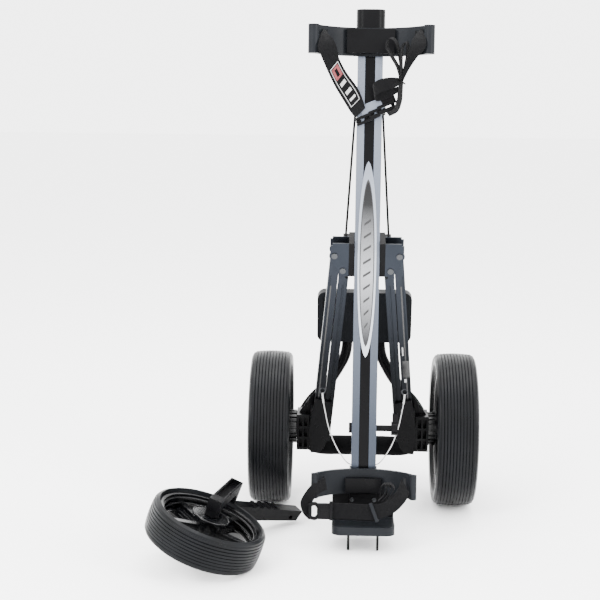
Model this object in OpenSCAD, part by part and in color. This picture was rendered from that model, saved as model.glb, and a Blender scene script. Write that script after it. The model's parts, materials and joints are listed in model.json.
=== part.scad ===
// Folding three-wheel golf push cart, folded, with its front wheel unit taken off and laid beside it.
// Millimetres, +Z up. The origin is on the floor, below the middle of everything that stands on it.

/* [Spine] */
// Width of the main extrusion
spine_w = 42.5; // [38:0.5:50]
// Depth of the main extrusion
spine_d = 34; // [30:0.5:42]
// Wall of the main extrusion
spine_wall = 2.2; // [1.6:0.1:4]
// Height of the spine's top end, along the spine
spine_top = 874; // [740:2:1050]
// Height of the spine's foot end, along the spine
spine_foot = 108; // [100:1:130]
// Backward lean of the spine, in degrees
spine_lean = 5; // [2:0.5:8]
// Width of the groove down the front
groove_w = 17; // [12:0.5:22]
// Depth of the groove down the front
groove_d = 5; // [3:0.5:7]
// Length of the long oval badge
badge_l = 335; // [240:5:400]
// Width of the long oval badge
badge_w = 32; // [24:1:38]

/* [Cradles] */
// Radius of the upper bag cradle at the middle of its wall
cradle_r = 107; // [90:1:125]
// Height of the upper cradle's wall
cradle_h = 47; // [38:1:60]
// Half angle that the upper cradle spans, in degrees
cradle_span = 62; // [45:1:75]
// Radius of the lower bag cradle at the middle of its wall
lower_r = 98; // [84:1:115]
// Height of the lower cradle's wall
lower_h = 42; // [34:1:46]
// Half angle that the lower cradle spans, in degrees
lower_span = 58; // [45:1:70]
// Wall of both cradles
cradle_wall = 7; // [5:0.5:9]
// Width of the bag ledge
ledge_w = 106; // [90:2:130]
// Depth of the bag ledge
ledge_d = 88; // [72:2:110]

/* [Legs] */
// Length of each leg bar between its pivots
leg_l = 352; // [290:2:430]
// Outward slant of the folded legs, in degrees
leg_slant = 4.9; // [3:0.1:7]
// Backward rake of the legs, in degrees
leg_rake = 20; // [16:0.5:24]
// Width of the outer leg bar
outer_bar_w = 16.8; // [14:0.2:18]
// Width of the inner leg bar
inner_bar_w = 16.5; // [13:0.5:17]
// Depth of both leg bars
bar_d = 22; // [18:0.5:26]
// Radius of the leg hinge pins
pin_r = 4; // [3:0.1:5]

/* [Wheels] */
// Radius of the rear wheels
wheel_r = 141; // [118:1:170]
// Width of the rear tyres
wheel_w = 74; // [60:1:84]
// Distance between the middles of the rear tyres
track = 338; // [330:2:420]
// Radius of the rear axles
axle_r = 6; // [5:0.25:8]
// Radius of the front wheel
front_r = 98; // [86:1:118]
// Width of the front tyre
front_w = 60; // [50:1:70]
// Depth of the tread grooves
tread_d = 1.6; // [1:0.1:2.4]

/* [Handle] */
// Distance from the handle's hinge to the middle of its grip
handle_l = 798; // [680:2:960]
// Radius of the handle's single upper tube
handle_r = 12.5; // [10:0.25:15]
// Radius of the handle's looped tube
loop_r = 10; // [8:0.25:11]
// Radius of the foam grip
grip_r = 18; // [15:0.5:22]
// Backward slope of the folded handle, in degrees
handle_slope = 10; // [8:0.5:12]
// Width of the console
console_w = 172; // [140:2:200]
// Height of the console
console_h = 96; // [84:1:120]

/* [Hidden] */
$fn = 48;

foot_y = 60;           // where the spine's front face would meet the floor
touch = 0.06;          // running clearance of a pin in its bore
gap = 0.5;             // gap between parts that pass each other

// The legs' hinge frame: its middle on the spine, and its pivots
hinge_s = 484;
hinge_n = spine_d / 2 + 1;
pivot_up = [55.5, 14];
pivot_low = [41, -14.5];
leg_dir = [sin(leg_slant), -cos(leg_slant)];
foot_up = pivot_up + leg_l * leg_dir;
foot_low = pivot_low + leg_l * leg_dir;
plate_t = 2.5;
plate_y = bar_d / 2 + gap;
block_half = 31;

// Where the whole cart is placed so that the origin is below its middle
front_turn = [-2.3, 20.5, -12.4];
front_tilt = acos(cos(front_turn[0]) * cos(front_turn[1]));
front_top = [-259, -80];
front_bead = front_r - 13;
front_drop = max([for (p = tyre_outline(front_r, front_w, front_bead, 9))
    p[1] * cos(front_tilt) + p[0] * sin(front_tilt)]);
far_left = front_top[0] - front_r * cos(front_turn[1]) - front_w / 2 * sin(front_turn[1]) + 4.5;
far_right = track / 2 + wheel_w / 2;
far_front = front_top[1] - front_r - 1;
axle_y = lg([0, 34, foot_up[1] - 37])[1];
far_back = axle_y + wheel_r;
centre = [-(far_left + far_right) / 2, -(far_front + far_back) / 2, 0];

// A point in the spine's frame: x across, n back from its front face, s up along it
function sp(x, n, s) = [x, foot_y + n * cos(spine_lean) + s * sin(spine_lean),
    s * cos(spine_lean) - n * sin(spine_lean)];
// A point in the legs' frame: x across, y through the hinge, z up in the legs' plane
function lg(p) = sp(0, hinge_n, hinge_s) + [p[0], p[1] * cos(leg_rake) - p[2] * sin(leg_rake),
    p[1] * sin(leg_rake) + p[2] * cos(leg_rake)];

// A half section of a tyre: [radius, height] points from the inner face round the tread
function tyre_outline(r, w, bead, ribs) = concat(
    [[bead, -w / 2 + 6], [bead + 2, -w / 2 + 1], [r - 9, -w / 2], [r - 4, -w / 2 + 3]],
    [for (i = [0:ribs - 1], k = [0:3])
        let (pitch = (w - 12) / ribs, z = -w / 2 + 6 + i * pitch)
        let (crown = r - 3 * pow((z + pitch / 2) / (w / 2), 2))
        [k == 0 || k == 3 ? crown - tread_d : crown, z + pitch * [0.04, 0.14, 0.86, 0.96][k]]],
    [[r - 4, w / 2 - 3], [r - 9, w / 2], [bead + 2, w / 2 - 1], [bead, w / 2 - 6]]);

// A smooth line through round points, and a tube swept along it
function curve(a, b, c, d, t) = 0.5 * (2 * b + (c - a) * t + (2 * a - 5 * b + 4 * c - d) * t * t
    + (3 * b - a - 3 * c + d) * t * t * t);
function smooth_line(p, steps) = concat([for (i = [0:len(p) - 2], k = [0:steps - 1])
    curve(p[max(i - 1, 0)], p[i], p[i + 1], p[min(i + 2, len(p) - 1)], k / steps)], [p[len(p) - 1]]);
function unit(v) = v / norm(v);
module tube(line, r, sides, side_dir) {
    n = len(line);
    rings = [for (i = [0:n - 1])
        let (t = unit(line[min(i + 1, n - 1)] - line[max(i - 1, 0)]))
        let (b = unit(cross(t, side_dir)), c = cross(b, t))
        for (k = [0:sides - 1]) line[i] + r * (cos(360 * k / sides) * b + sin(360 * k / sides) * c)];
    walls = [for (i = [0:n - 2], k = [0:sides - 1])
        [i * sides + k, i * sides + (k + 1) % sides, (i + 1) * sides + (k + 1) % sides, (i + 1) * sides + k]];
    ends = [[for (k = [sides - 1:-1:0]) k], [for (k = [0:sides - 1]) (n - 1) * sides + k]];
    polyhedron(points = rings, faces = [for (f = concat(walls, ends)) [for (j = [len(f) - 1:-1:0]) f[j]]]);
}

// A flat band of webbing through round points, each with its own width direction
module band(points, across, widths, t) {
    for (i = [0:len(points) - 2])
        hull() {
            band_end(points[i], across[i], widths[i], t);
            band_end(points[i + 1], across[i + 1], widths[i + 1], t);
        }
}
module band_end(p, a, w, t) {
    translate(p) rotate([0, a, 0]) cube([w, t, 0.6], center = true);
}

module in_spine() translate(sp(0, 0, 0) + centre) rotate([-spine_lean, 0, 0]) children();
module in_legs() translate(lg([0, 0, 0]) + centre) rotate([leg_rake, 0, 0]) children();
module at_side(s) mirror([s < 0 ? 1 : 0, 0, 0]) children();
module box(lo, hi) translate(lo) cube(hi - lo);
module round_box(w, d, h, r) {
    linear_extrude(h) {
        square([w - 2 * r, d], center = true);
        square([w, d - 2 * r], center = true);
        for (x = [-1, 1], y = [-1, 1]) translate([x * (w / 2 - r), y * (d / 2 - r)]) circle(r);
    }
}

// ---- the spine and what is fixed to it ----
module spine_outer(lo, hi, grow = 0) {
    box([-spine_w / 2 - grow, -grow, lo], [spine_w / 2 + grow, spine_d + grow, hi]);
}
module spine() {
    color("#8f98a6") in_spine() difference() {
        spine_outer(spine_foot, spine_top);
        box([-groove_w / 2, -1, spine_foot - 1], [groove_w / 2, groove_d, spine_top + 1]);
        box([-spine_w / 2 + spine_wall, groove_d + spine_wall, spine_foot - 1],
            [spine_w / 2 - spine_wall, spine_d - spine_wall, spine_top + 1]);
        translate([0, spindle_n, spindle_s]) rotate([0, 90, 0])
            cylinder(r = spindle_r, h = spine_w + 2, center = true);
    }
}
module channel_strip() {
    color("#101112") in_spine()
        box([-groove_w / 2, 1, spine_foot], [groove_w / 2, groove_d, spine_top]);
}
badge_s = 485;
badge_t = 1.5;
function badge_side(t) = badge_w / 2 * pow(1 - pow(abs(t), 2.3), 0.6);
module badge() {
    side = [for (i = [-32:32]) [badge_side(i / 32), badge_l / 2 * i / 32]];
    other = [for (i = [31:-1:-31]) [-badge_side(i / 32), badge_l / 2 * i / 32]];
    color("#dfe3e8") in_spine() translate([0, 0, badge_s]) rotate([90, 0, 0])
        linear_extrude(badge_t) polygon(concat(side, other));
}

housing_w = 48;
housing_d = 44;
housing_h = 32;
knuckle_n = 60;
knuckle_s = spine_top + 11;
knuckle_half = 22;
module top_housing() {
    color("#1b1c1e") in_spine() difference() {
        union() {
            translate([0, spine_d / 2, spine_top]) round_box(housing_w, housing_d, housing_h, 14);
            for (s = [-1, 1]) translate([s * (knuckle_half + 13.5) / 2, 0, 0]) {
                box([-4.25, 30, spine_top], [4.25, knuckle_n, spine_top + 25]);
                translate([0, knuckle_n, knuckle_s]) rotate([0, 90, 0])
                    cylinder(r = 14, h = 8.5, center = true);
            }
        }
        translate([0, knuckle_n, knuckle_s]) rotate([0, 90, 0])
            cylinder(r = pin_r, h = 3 * knuckle_half, center = true);
    }
}
module handle_hinge_pin() {
    color("#c9ccd0") in_spine() translate([0, knuckle_n, knuckle_s]) rotate([0, 90, 0])
        cylinder(r = pin_r, h = 2 * knuckle_half, center = true);
}

// ---- the bag cradles ----
saddle_n = 4.5;
module cradle_ring(r, h, span, roll) {
    mid = saddle_n + cradle_wall / 2 + r;
    translate([0, -mid, 0]) {
        rotate([0, 0, 90 - span]) rotate_extrude(angle = 2 * span, $fn = 96)
            translate([r - cradle_wall / 2, 0]) square([cradle_wall, h]);
        for (s = [-1, 1]) rotate([0, 0, 90 + s * span]) translate([r, 0, 0]) cylinder(r = roll, h = h);
    }
}
module cradle_slots(r, lo, hi, angle) {
    mid = saddle_n + cradle_wall / 2 + r;
    for (s = [-1, 1]) translate([0, -mid, 0]) rotate([0, 0, 90 + s * angle])
        box([r - cradle_wall, -3, lo], [r + cradle_wall, 3, hi]);
}
module cradle_disc(r, lo, hi, side) {
    mid = saddle_n + cradle_wall / 2 + r;
    translate([0, -mid, lo]) cylinder(r = r + side * cradle_wall / 2, h = hi - lo, $fn = 96);
}
cradle_lo = spine_top - cradle_h;
module upper_cradle() {
    color("#3a3c40") in_spine() difference() {
        translate([0, 0, cradle_lo]) cradle_ring(cradle_r, cradle_h, cradle_span, 9);
        cradle_slots(cradle_r, spine_top - 30, spine_top - 7, 46);
    }
}
module upper_saddle() {
    color("#202124") in_spine() difference() {
        box([-20, -12, cradle_lo + 5], [20, 0, spine_top - 4]);
        cradle_disc(cradle_r, cradle_lo, spine_top, 1);
    }
}
module upper_pad() {
    color("#141517") in_spine() intersection() {
        box([-40, -27, cradle_lo + 4], [40, -8, spine_top - 3]);
        cradle_disc(cradle_r, cradle_lo, spine_top, -1);
    }
}
lower_top = spine_foot + 18;
lower_lo = lower_top - lower_h;
saddle_lo = spine_foot - 21;
module lower_cradle() {
    color("#4a4e54") in_spine() difference() {
        translate([0, 0, lower_lo]) cradle_ring(lower_r, lower_h, lower_span, 6);
        cradle_slots(lower_r, lower_lo + 10, lower_top - 8, 47);
    }
}
module end_collar() {
    color("#101113") in_spine() difference() {
        box([-spine_w / 2 - 2.5, -2.5, spine_foot], [spine_w / 2 + 2.5, spine_d + 2.5, spine_foot + 14]);
        spine_outer(spine_foot - 1, spine_foot + 15);
    }
}
module lower_saddle() {
    color("#1b1c1e") in_spine() difference() {
        box([-31, -14, saddle_lo], [31, spine_d + 4, spine_foot]);
        cradle_disc(lower_r, saddle_lo - 1, spine_foot + 1, 1);
    }
}
module lower_pad() {
    color("#141517") in_spine() intersection() {
        box([-31, -25, saddle_lo], [31, -8, spine_foot + 4]);
        cradle_disc(lower_r, lower_lo, lower_top, -1);
    }
}
ledge_lo = 27;
ledge_hi = 41;
plate_d = 6;
module back_plate() {
    color("#26282b") in_spine() box([-ledge_w / 2, 0, ledge_hi], [ledge_w / 2, plate_d, saddle_lo]);
}
module lower_block() {
    color("#17181a") in_spine() difference() {
        box([-23, -14, saddle_lo - 24], [23, 0, saddle_lo]);
        cradle_disc(lower_r, lower_lo - 0.2, lower_top, 1);
        for (x = [-19, 19]) translate([x, 0, saddle_lo - 14]) rotate([90, 0, 0]) cylinder(r = 2, h = 20);
    }
}
module lower_screws() {
    color("#c9ccd0") in_spine() for (x = [-19, 19]) translate([x, 0, saddle_lo - 14]) rotate([90, 0, 0]) {
        cylinder(r = 2, h = 14);
        translate([0, 0, 14]) cylinder(r = 3.6, h = 1.8);
    }
}
module ledge() {
    r = 16;
    color("#33363a") in_spine() translate([0, 0, ledge_lo]) linear_extrude(ledge_hi - ledge_lo) {
        translate([-ledge_w / 2, plate_d - ledge_d + r]) square([ledge_w, ledge_d - r]);
        translate([-ledge_w / 2 + r, plate_d - ledge_d]) square([ledge_w - 2 * r, ledge_d]);
        for (s = [-1, 1]) translate([s * (ledge_w / 2 - r), plate_d - ledge_d + r]) circle(r);
    }
}
stand_r = 2.2;
stand_n = -56;
stand_tip = (stand_r + stand_n * sin(spine_lean)) / cos(spine_lean);
module stand_pins() {
    color("#101113") in_spine() for (s = [-1, 1]) translate([s * 24.7, stand_n, stand_tip]) {
        sphere(stand_r, $fn = 32);
        cylinder(r = stand_r, h = ledge_lo - stand_tip);
    }
}

// ---- the front arm's clamp ----
spindle_s = 192;
spindle_n = spine_d / 2 + 2;
spindle_r = 5.5;
lever_x = 47;
module clamp_spindle() {
    color("#1b1c1e") in_spine() translate([0, spindle_n, spindle_s]) rotate([0, 90, 0]) {
        translate([0, 0, -spine_w / 2 - 1.2]) cylinder(r = spindle_r, h = spine_w / 2 + 1.2 + lever_x + 8.8);
        translate([0, 0, -spine_w / 2 - 5]) cylinder(r = 9, h = 5);
    }
}
module clamp_lever() {
    color("#1b1c1e") in_spine() translate([lever_x, spindle_n, spindle_s]) {
        rotate([0, 90, 0]) difference() {
            cylinder(r = 12, h = 9);
            translate([0, 0, -1]) cylinder(r = spindle_r + touch, h = 11);
        }
        translate([9, 0, 0]) rotate([0, 90, 0]) cylinder(r = 12, h = 2.5);
        box([2, -6, 11], [11.5, 6, 26]);
    }
}

// ---- the leg block, its plates and pins ----
module leg_block() {
    color("#17181a") difference() {
        in_legs() union() {
            box([-block_half, -plate_y - plate_t, -25], [block_half, 30, 38]);
            for (s = [-1, 1]) at_side(s)
                box([block_half - 1, plate_y + plate_t, 26], [block_half + 10, 24, 38]);
        }
        in_spine() {
            spine_outer(hinge_s - 100, hinge_s + 100);
            box([-spine_w / 2, -60, hinge_s - 100], [spine_w / 2, 0, hinge_s + 100]);
        }
        in_legs() for (s = [-1, 1], i = [0:3]) at_side(s)
            box([block_half - 2, -8, -20 + i * 14], [block_half + 1, 8, -12 + i * 14]);
    }
}
module plate_shape() {
    polygon([[block_half, -25], [block_half + 12, -25], [50, -18], [pivot_up[0] + 7, 4], [63, 14],
        [63, 34], [59, 34], [59, 38], [block_half, 38]]);
    translate(pivot_low) circle(9);
    translate(pivot_up) circle(9);
}
module plate_holes() {
    for (p = [pivot_up, pivot_low]) translate(p) circle(pin_r);
}
module plates(y) {
    in_legs() for (s = [-1, 1]) at_side(s) translate([0, y, 0]) rotate([90, 0, 0])
        linear_extrude(plate_t) difference() {
            intersection() {
                plate_shape();
                translate([block_half, -40]) square([60, 100]);
            }
            plate_holes();
        }
}
module plates_front() { color("#8a919c") plates(-plate_y); }
module plates_back() { color("#8a919c") plates(plate_y + plate_t); }
module leg_pins() {
    color("#cfd2d6") in_legs() for (s = [-1, 1], p = [pivot_up, pivot_low]) at_side(s)
        translate([p[0], 0, p[1]]) rotate([90, 0, 0]) {
            cylinder(r = pin_r, h = 2 * (plate_y + plate_t), center = true);
            translate([0, 0, plate_y + plate_t]) cylinder(r = pin_r + 1.4, h = 1.6);
            translate([0, 0, -plate_y - plate_t - 1.6]) cylinder(r = pin_r + 1.4, h = 1.6);
        }
}
yoke_s = 742;
module rod_yoke() {
    color("#17181a") in_spine() box([-28, spine_d, yoke_s - 10], [28, spine_d + 12, yoke_s + 10]);
}
module stay_rods() {
    for (s = [-1, 1]) color("#0d0d0e") translate(centre) {
        a = sp(s * 24, spine_d + 6, yoke_s - 10.3);
        b = lg([s * (block_half + 5.5), 19, 39.2]);
        tube([a, b], 2, 12, [0, 1, 0]);
    }
}

// ---- the legs ----
module bar_hole(p, r) {
    translate([p[0], 0, p[1]]) rotate([90, 0, 0]) cylinder(r = r, h = 60, center = true);
}
module bar(pivot, foot, w, inset, run_up, run_down, lug) {
    // inset is how far the bar's inner edge lies inboard of the line through its pivots
    difference() {
        union() {
            translate([pivot[0], 0, pivot[1]]) rotate([0, -leg_slant, 0]) {
                box([-inset, -bar_d / 2, -leg_l - run_down], [w - inset, bar_d / 2, -run_up]);
                box([-lug, -bar_d / 2, -run_up - 1], [lug, bar_d / 2, 0]);
                rotate([90, 0, 0]) cylinder(r = lug, h = bar_d, center = true);
            }
        }
        bar_hole(pivot, pin_r + touch);
    }
}
module outer_bar(s) {
    color("#7f8794") in_legs() at_side(s) difference() {
        bar(pivot_up, foot_up, outer_bar_w, 10.1, 20, 8, 6.5);
        bar_hole(foot_up, pin_r + touch);
        translate([pivot_up[0], 0, pivot_up[1]]) rotate([0, -leg_slant, 0]) {
            box([1.5, -bar_d / 2 - 1, -leg_l + 50], [3.5, -bar_d / 2 + 1.2, -40]);
            box([-3, bar_d / 2 - 1.2, -leg_l + 50], [3, bar_d / 2 + 1, -40]);
        }
    }
}
module inner_bar(s) {
    color("#6d747f") in_legs() at_side(s) difference() {
        bar(pivot_low, foot_low, inner_bar_w, 11.2, 16, 8, 5.9);
        bar_hole(foot_low, pin_r + 0.3);
        translate([pivot_low[0], 0, pivot_low[1]]) rotate([0, -leg_slant, 0])
            box([-5, -bar_d / 2 - 1, -leg_l + 50], [-2, -bar_d / 2 + 2, -30]);
    }
}
cheek_t = 4;
cheek_y = bar_d / 2 + gap;
axle_x0 = 88;
wheel_in = track / 2 - wheel_w / 2;
wheel_out = track / 2 + wheel_w / 2;
boss_in = wheel_in - 10;
axle_z = wheel_r;
block_x = [97.5, boss_in - 1];
pocket_w = (block_x[1] - block_x[0] - 11.5) / 2;
// A cheek of the wheel carrier, in front of or behind the bars; reach widens it towards the wheel
module cheek(reach) {
    translate([foot_up[0], 0, foot_up[1]]) rotate([0, -leg_slant, 0]) rotate([90, 0, 0])
        linear_extrude(cheek_t)
        polygon([[-24, 52], [6, 58], [9 + reach, 32], [12 + reach, -10], [9 + reach, -40], [4, -62],
            [-12, -60], [-20, -46], [-26, -20]]);
}
module carrier(s) {
    color("#101113") difference() {
        union() {
            in_legs() at_side(s) {
                translate([0, -cheek_y, 0]) cheek(0);
                translate([0, cheek_y + cheek_t, 0]) cheek(9);
                translate([foot_up[0], 0, foot_up[1]]) rotate([0, -leg_slant, 0])
                    box([8.2, -cheek_y - 2, 12], [11.4, cheek_y + 2, 30]);
            }
            translate(centre) at_side(s) {
                box([block_x[0], axle_y - 44, axle_z - 33], [block_x[1], axle_y + 14, axle_z + 33]);
                translate([0, axle_y - 20, 0]) rotate([90, 0, 0]) linear_extrude(6)
                    polygon([[block_x[0] + 0.4, axle_z + 28], [block_x[1] - 0.4, axle_z + 28],
                        [block_x[0] + 0.4, axle_z + 62]]);
            }
        }
        translate(centre) at_side(s) {
            for (i = [0:1], k = [0:2])
                box([block_x[0] + 4 + i * (pocket_w + 3.5), axle_y - 45, axle_z - 28 + k * 19.7],
                    [block_x[0] + 4 + pocket_w + i * (pocket_w + 3.5), axle_y - 28,
                        axle_z - 12.4 + k * 19.7]);
            translate([axle_x0, axle_y, axle_z]) rotate([0, 90, 0]) cylinder(r = axle_r, h = track);
        }
        in_legs() at_side(s) {
            bar_hole(foot_up, pin_r);
            bar_hole(foot_low, pin_r);
        }
    }
}
module carrier_pins(s) {
    color("#2a2c2f") in_legs() at_side(s) for (p = [foot_up, foot_low])
        translate([p[0], 0, p[1]]) rotate([90, 0, 0])
            cylinder(r = pin_r, h = 2 * (cheek_y + cheek_t), center = true);
}
module axle(s) {
    color("#c4c8cd") translate(centre) at_side(s) translate([axle_x0, axle_y, axle_z]) rotate([0, 90, 0])
        cylinder(r = axle_r, h = wheel_out - 12 - axle_x0);
}

// ---- wheels ----
module tyre_ring(r, w, bead, ribs) {
    rotate_extrude($fn = 120) polygon(tyre_outline(r, w, bead, ribs));
}
module rim_disc(bead, w, hub_r, hub_w, bore) {
    difference() {
        union() {
            rotate_extrude($fn = 96) polygon([[bead - 5, -w / 2 + 7], [bead, -w / 2 + 6],
                [bead, w / 2 - 6], [bead - 5, w / 2 - 7]]);
            cylinder(r = hub_r, h = hub_w, center = true);
            for (a = [0:72:359]) rotate([0, 0, a]) {
                box([hub_r - 3, -5, -w / 4], [bead - 3, 5, w / 6]);
                box([hub_r - 3, -14, -3], [bead - 3, 14, 3]);
            }
        }
        cylinder(r = bore, h = 2 * w + hub_w, center = true);
    }
}
bead_r = wheel_r - 23;
module wheel_rim(s) {
    color("#0f1012") translate(centre) at_side(s) translate([track / 2, axle_y, axle_z]) rotate([0, 90, 0]) {
        rim_disc(bead_r, wheel_w, 24, wheel_w - 16, axle_r + touch);
        translate([0, 0, boss_in - track / 2]) difference() {
            cylinder(r = 28, h = 34);
            translate([0, 0, -1]) cylinder(r = axle_r + touch, h = 36);
        }
        for (a = [0:18:359]) rotate([0, 0, a])
            box([27, -2.6, boss_in - track / 2], [31, 2.6, boss_in - track / 2 + 13]);
    }
}
module tyre(s) {
    color("#22262b") translate(centre) at_side(s) translate([track / 2, axle_y, axle_z]) rotate([0, 90, 0])
        tyre_ring(wheel_r, wheel_w, bead_r, 11);
}

// ---- the stay wires: from an eye on each leg to the back of the spine ----
wire_r = 0.9;
wire_back = 104;     // how far the leg end of the wire lies behind its lower end
wire_points = [[74, 14, 236], [72, 18, 222], [68, 22, 205], [63, 24, 186], [55, 25, 166], [46, 26, 150],
    [37, 28, 138], [30, 31, 130], [24, 35, 125], [14, 39, 122]];
module wire(s) {
    color("#e8e8e8") in_spine() at_side(s)
        tube(smooth_line([for (p = wire_points)
            [p[0], p[1] + wire_back * max(0, (p[2] - 130)) / 106, p[2]]], 2), wire_r, 8, [0, 1, 0]);
}

// ---- the handle, folded down behind the spine ----
module in_handle() translate(sp(0, knuckle_n, knuckle_s) + centre) rotate([handle_slope, 0, 0]) children();
split_z = -(handle_l - 260);
loop_points = [[0, 0], [42, 0], [80, 0], [104, 8], [115, 30], [113, 62], [97, 92], [77, 115], [59, 138],
    [46, 160], [34, 186], [30, 215], [30, 262]];
module handle_tube() {
    color("#17181a") in_handle() difference() {
        union() {
            translate([0, 0, split_z - 10]) cylinder(r = handle_r, h = -split_z + 10);
            rotate([0, 90, 0]) cylinder(r = handle_r + 1, h = 2 * 12.8, center = true);
            box([-44, -13, split_z - 14], [44, 13, split_z + 18]);
        }
        rotate([0, 90, 0]) cylinder(r = pin_r + touch, h = 60, center = true);
        for (s = [-1, 1]) translate([s * 30, 0, split_z - 15]) cylinder(r = loop_r, h = 23);
    }
}
module handle_loop() {
    last = len(loop_points) - 1;
    half = [for (p = loop_points) [p[0], 0, p[1] - handle_l]];
    whole = concat([for (i = [last:-1:1]) [-half[i][0], 0, half[i][2]]], half);
    color("#17181a") in_handle() tube(smooth_line(whole, 3), loop_r, 16, [0, 1, 0]);
}
grip_half = 78;
module handle_grip() {
    color("#0c0c0d") in_handle() translate([0, 0, -handle_l]) rotate([0, 90, 0]) difference() {
        rotate_extrude() polygon([[0, -grip_half], [grip_r - 4, -grip_half], [grip_r, -grip_half + 5],
            [grip_r, grip_half - 5], [grip_r - 4, grip_half], [0, grip_half]]);
        cylinder(r = loop_r + 0.8, h = 3 * grip_half, center = true);
    }
}
console_t = 22;
console_mid = split_z + 62 - console_h / 2;
module console() {
    color("#26282b") in_handle() translate([0, -13 - console_t / 2, console_mid]) difference() {
        rotate([90, 0, 0]) translate([0, 0, -console_t / 2])
            round_box(console_w, console_h, console_t, 14);
        box([-console_w / 2 + 10, -console_t / 2 - 1, -8], [-52, -console_t / 2 + 3, 38]);
        box([52, -console_t / 2 - 1, -8], [console_w / 2 - 10, -console_t / 2 + 3, 38]);
    }
}
module console_clip() {
    color("#101113") in_handle() translate([0, -13 - console_t, split_z + 40]) box([-20, -6, -8], [20, 0, 8]);
}

// ---- the front wheel unit, taken off ----
module in_front() translate([front_top[0], front_top[1], front_drop] + centre) rotate(front_turn) children();
fork_h = front_w / 2 + 24;
fork_reach = front_r + 10;
arm_turn = 38;
arm_l = 172;
module front_tyre() {
    color("#1b1f24") in_front() tyre_ring(front_r, front_w, front_bead, 9);
}
module front_rim() {
    color("#0f1012") in_front() {
        rim_disc(front_bead, front_w, 20, front_w - 12, axle_r + touch);
        translate([0, 0, front_w / 2 - 6]) difference() {
            cylinder(r = 31, h = 4);
            translate([0, 0, -1]) cylinder(r = axle_r + touch, h = 6);
        }
    }
}
module front_axle() {
    color("#c4c8cd") in_front() translate([0, 0, -front_w / 2 + 4]) cylinder(r = axle_r, h = front_w + 14);
}
module front_fork() {
    color("#1d1e21") in_front() difference() {
        union() {
            translate([0, 0, front_w / 2]) cylinder(r = 12, h = 12);
            box([-11, -13, front_w / 2 + 12], [11, fork_reach + 8, fork_h + 6]);
            box([-11, fork_reach - 8, -10], [11, fork_reach + 8, front_w / 2 + 13]);
        }
        box([-7.5, 12, fork_h - 1], [7.5, fork_reach + 4, fork_h + 7]);
        translate([0, 0, -front_w]) cylinder(r = axle_r, h = front_w * 1.5 + 18);
    }
}
arm_in = 11 * tan(arm_turn) + 0.1;
module front_arm() {
    color("#17181a") in_front() translate([0, fork_reach + 8, 0]) rotate([0, 0, -arm_turn]) difference() {
        union() {
            rotate([0, 90, 0]) translate([0, 0, -11]) linear_extrude(22)
                polygon([[-16, arm_in], [12, arm_in], [6, arm_l - 14], [-13, arm_l - 8]]);
            for (i = [0:3]) box([-11, 56 + 16 * i, 10], [11, 62 + 16 * i, 17.6 - i * 0.4]);
        }
        translate([0, arm_l - 30, 0]) rotate([0, 90, 0]) cylinder(r = 4, h = 60, center = true);
    }
}

// ---- straps: webbing, buckles and their loose ends ----
strap_t = 2.4;
module upper_strap_left() {
    color("#16171a") in_spine() band([[-70, -62, 858], [-70, -66, 842], [-64, -62, 812], [-51, -52, 776],
        [-32, -34, 745], [-12, -18, 727]], [8, 15, 24, 34, 44, 50], [8, 18, 29, 29, 29, 26], strap_t);
}
module upper_strap_right() {
    color("#121315") in_spine() band([[70, -62, 858], [66, -60, 835], [56, -50, 800], [44, -38, 772],
        [34, -24, 756]], [-72, -70, -62, -52, -45], [8, 14, 18, 20, 20], strap_t);
}
module upper_buckle() {
    color("#0c0c0d") in_spine() for (p = [[-2, 727, 22], [12, 741, 22], [30, 748, 26]])
        translate([p[0], -10, p[1]]) rotate([0, 40, 0]) difference() {
            cube([p[2], 6, 14], center = true);
            cube([p[2] - 8, 8, 7], center = true);
        }
}
module lower_strap() {
    color("#141518") in_spine() band([[-74, -68, 100], [-90, -70, 88], [-101, -71, 74], [-99, -72, 66]],
        [30, 30, 20, 5], [22, 22, 20, 18], strap_t);
}
module lower_buckle() {
    color("#0c0c0d") in_spine() translate([-66, -72, 67]) difference() {
        cube([26, 10, 24], center = true);
        translate([-6, 0, 0]) cube([8, 12, 16], center = true);
    }
}
module lower_strap_tail() {
    color("#141518") in_spine()
        band([[-52, -72, 68], [-10, -73, 69], [26, -72, 70], [50, -68, 80], [64, -64, 98]],
        [90, 90, 86, 55, 25], [22, 22, 22, 22, 20], strap_t);
}

spine();
channel_strip();
badge();
top_housing();
upper_saddle();
upper_cradle();
upper_pad();
upper_strap_left();
upper_strap_right();
upper_buckle();
leg_block();
plates_front();
plates_back();
leg_pins();
stay_rods();
rod_yoke();
end_collar();
lower_saddle();
lower_cradle();
lower_pad();
lower_block();
back_plate();
ledge();
stand_pins();
lower_screws();
lower_strap();
lower_strap_tail();
lower_buckle();
clamp_spindle();
clamp_lever();
outer_bar(-1);  // outer_bar_left
outer_bar(1);  // outer_bar_right
inner_bar(-1);  // inner_bar_left
inner_bar(1);  // inner_bar_right
carrier(-1);  // carrier_left
carrier(1);  // carrier_right
carrier_pins(-1);  // carrier_pins_left
carrier_pins(1);  // carrier_pins_right
axle(-1);  // axle_left
axle(1);  // axle_right
wheel_rim(-1);  // wheel_rim_left
wheel_rim(1);  // wheel_rim_right
tyre(-1);  // tyre_left
tyre(1);  // tyre_right
wire(-1);  // wire_left
wire(1);  // wire_right
handle_hinge_pin();
handle_tube();
handle_loop();
handle_grip();
console();
console_clip();
front_tyre();
front_rim();
front_axle();
front_fork();
front_arm();
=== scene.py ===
import json
import math
import bpy
from mathutils import Matrix, Vector


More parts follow.
